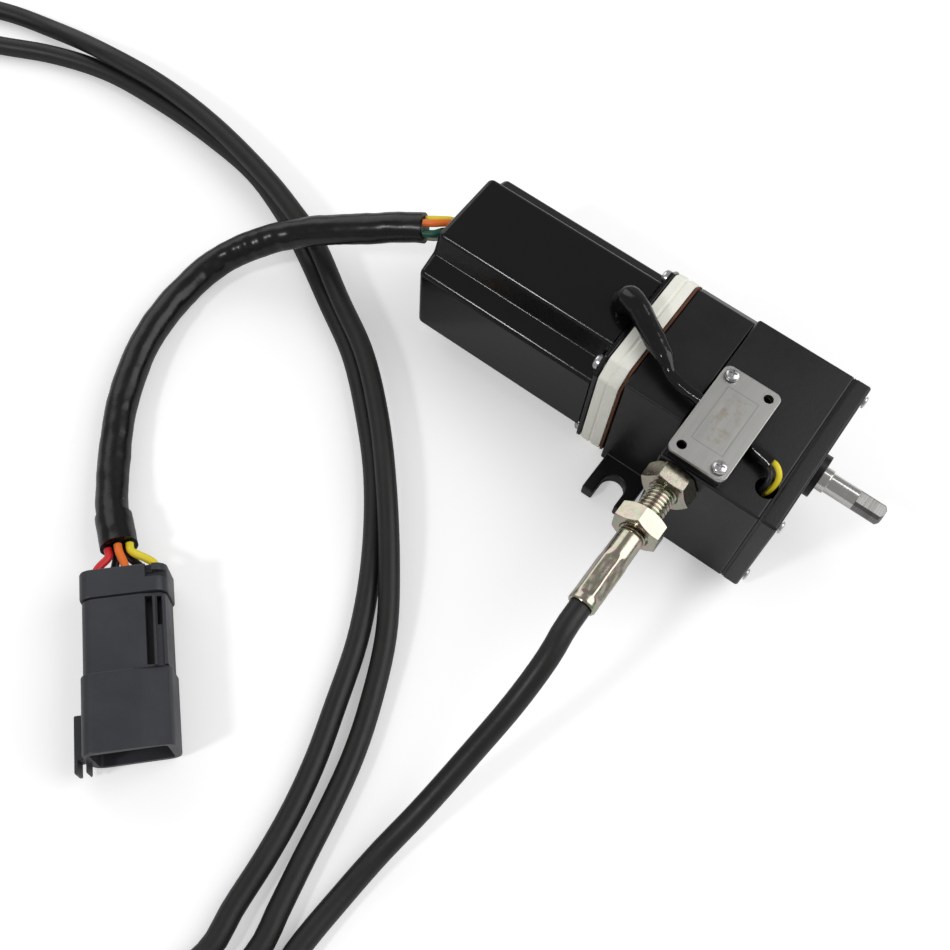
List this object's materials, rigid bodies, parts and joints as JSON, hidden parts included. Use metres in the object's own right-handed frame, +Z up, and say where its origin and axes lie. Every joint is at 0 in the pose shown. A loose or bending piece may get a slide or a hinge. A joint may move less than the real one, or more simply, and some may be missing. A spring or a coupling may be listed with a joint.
{
  "type": "engine governor actuator",
  "caption": "Stepping motor with a geared output shaft and a push-pull control cable, on a slotted foot, with a sensor lead and a wired plug.",
  "frame": {"origin": "middle of the mounting feet at the adapter's base, under the motor and output axis", "axes": "+X along the motor axis to the output shaft, +Y away from the cable, +Z up from the base"},
  "size_m": [0.3965, 0.3228, 0.0505],
  "materials": {
    "motor_casing": "gloss black enamel",
    "front_plate": "gloss black enamel",
    "mounting_flange": "cream paint on a casting",
    "gasket": "red-brown fibre sheet",
    "adapter_housing": "satin black powder coat",
    "flange_screw_1": "zinc plated steel",
    "flange_screw_2": "zinc plated steel",
    "flange_screw_3": "zinc plated steel",
    "flange_screw_4": "zinc plated steel",
    "stator_core": "laminated electrical steel",
    "winding": null,
    "rotor": "laminated electrical steel",
    "motor_shaft": "bare machined steel",
    "bearing_rear": "bare machined steel",
    "bearing_front": "bare machined steel",
    "shaft_coupling": "machined aluminium",
    "pinion_bearing": "bare machined steel",
    "pinion_shaft": "bare machined steel",
    "gear_housing": "satin black powder coat",
    "idler_pin": "bare machined steel",
    "idler_gear": "dark hardened steel",
    "output_gear": "dark hardened steel",
    "output_shaft": "bare machined steel",
    "end_cover": "satin black powder coat",
    "bush_inner": "sintered bronze",
    "bush_outer": "sintered bronze",
    "cover_screw_1": "zinc plated steel",
    "cover_screw_2": "zinc plated steel",
    "cover_screw_3": "zinc plated steel",
    "cover_screw_4": "zinc plated steel",
    "rack": "dark hardened steel",
    "inner_wire": "steel cable core",
    "cable_hub": "yellow zinc plated steel",
    "hub_nut_1": "yellow zinc plated steel",
    "hub_nut_2": "yellow zinc plated steel",
    "conduit": "black polymer jacket",
    "far_hub": "yellow zinc plated steel",
    "far_nut": "yellow zinc plated steel",
    "far_rod": "bare machined steel",
    "nameplate": "satin stainless sheet",
    "plate_screw_1": "zinc plated steel",
    "plate_screw_2": "zinc plated steel",
    "position_sensor": "moulded sensor block",
    "sensor_wire_yellow": "yellow wire insulation",
    "sensor_wire_black": "black wire insulation",
    "sensor_lead": "black shrink sleeve",
    "harness_sleeve": "black shrink sleeve",
    "sleeve_collar": "black shrink sleeve",
    "motor_wire_yellow": "yellow wire insulation",
    "motor_wire_orange": "orange wire insulation",
    "motor_wire_green": "dark green wire insulation",
    "motor_wire_grey": "grey wire insulation",
    "connector_cap": "dark grey moulded plastic",
    "connector_body": "dark grey moulded plastic",
    "connector_wire_red": "red wire insulation",
    "connector_wire_black_1": "black wire insulation",
    "connector_wire_orange": "orange wire insulation",
    "connector_wire_black_2": "black wire insulation",
    "connector_wire_yellow": "yellow wire insulation"
  },
  "bodies": {
    "housing": {"motor_casing": "motor_casing", "front_plate": "front_plate", "mounting_flange": "mounting_flange", "gasket": "gasket", "adapter_housing": "adapter_housing", "flange_screw_1": "flange_screw_1", "flange_screw_2": "flange_screw_2", "flange_screw_3": "flange_screw_3", "flange_screw_4": "flange_screw_4", "stator_core": "stator_core", "winding": "winding", "bearing_rear": "bearing_rear", "bearing_front": "bearing_front", "pinion_bearing": "pinion_bearing", "gear_housing": "gear_housing", "idler_pin": "idler_pin", "end_cover": "end_cover", "bush_inner": "bush_inner", "bush_outer": "bush_outer", "cover_screw_1": "cover_screw_1", "cover_screw_2": "cover_screw_2", "cover_screw_3": "cover_screw_3", "cover_screw_4": "cover_screw_4", "cable_hub": "cable_hub", "hub_nut_1": "hub_nut_1", "hub_nut_2": "hub_nut_2", "conduit": "conduit", "far_hub": "far_hub", "far_nut": "far_nut", "nameplate": "nameplate", "plate_screw_1": "plate_screw_1", "plate_screw_2": "plate_screw_2", "position_sensor": "position_sensor", "sensor_wire_yellow": "sensor_wire_yellow", "sensor_wire_black": "sensor_wire_black", "sensor_lead": "sensor_lead", "harness_sleeve": "harness_sleeve", "sleeve_collar": "sleeve_collar", "motor_wire_yellow": "motor_wire_yellow", "motor_wire_orange": "motor_wire_orange", "motor_wire_green": "motor_wire_green", "motor_wire_grey": "motor_wire_grey", "connector_cap": "connector_cap", "connector_body": "connector_body", "connector_wire_red": "connector_wire_red", "connector_wire_black_1": "connector_wire_black_1", "connector_wire_orange": "connector_wire_orange", "connector_wire_black_2": "connector_wire_black_2", "connector_wire_yellow": "connector_wire_yellow"},
    "rotor": {"rotor": "rotor", "motor_shaft": "motor_shaft", "shaft_coupling": "shaft_coupling", "pinion_shaft": "pinion_shaft"},
    "idler": {"idler_gear": "idler_gear"},
    "output": {"output_gear": "output_gear", "output_shaft": "output_shaft"},
    "rack": {"rack": "rack", "inner_wire": "inner_wire"},
    "far_rod": {"far_rod": "far_rod"}
  },
  "joints": [
    {"name": "output_turn", "type": "hinge", "parent": "housing", "child": "output", "pos_m": [0, 0, 0.0213], "axis": [1, 0, 0], "range_deg": [-57, 0]},
    {"name": "idler_spin", "type": "hinge", "parent": "housing", "child": "idler", "pos_m": [0, -0.0168, 0.0213], "axis": [1, 0, 0], "range_deg": [0, 143]},
    {"name": "rotor_spin", "type": "hinge", "parent": "housing", "child": "rotor", "pos_m": [0, 0, 0.0213], "axis": [1, 0, 0], "range_deg": [-357, 0]},
    {"name": "rack_slide", "type": "slide", "parent": "housing", "child": "rack", "axis": [0, 1, 0], "range_m": [0, 0.012]},
    {"name": "far_rod_slide", "type": "slide", "parent": "housing", "child": "far_rod", "axis": [0.9601, 0.2798, 0], "range_m": [0, 0.012]}
  ],
  "couplings": [
    {"joint": "idler_spin", "follows": "output_turn", "ratio": -2.5},
    {"joint": "rotor_spin", "follows": "output_turn", "ratio": 6.25},
    {"joint": "rack_slide", "follows": "output_turn", "m_per_rad": -0.012},
    {"joint": "far_rod_slide", "follows": "output_turn", "m_per_rad": -0.012}
  ]
}
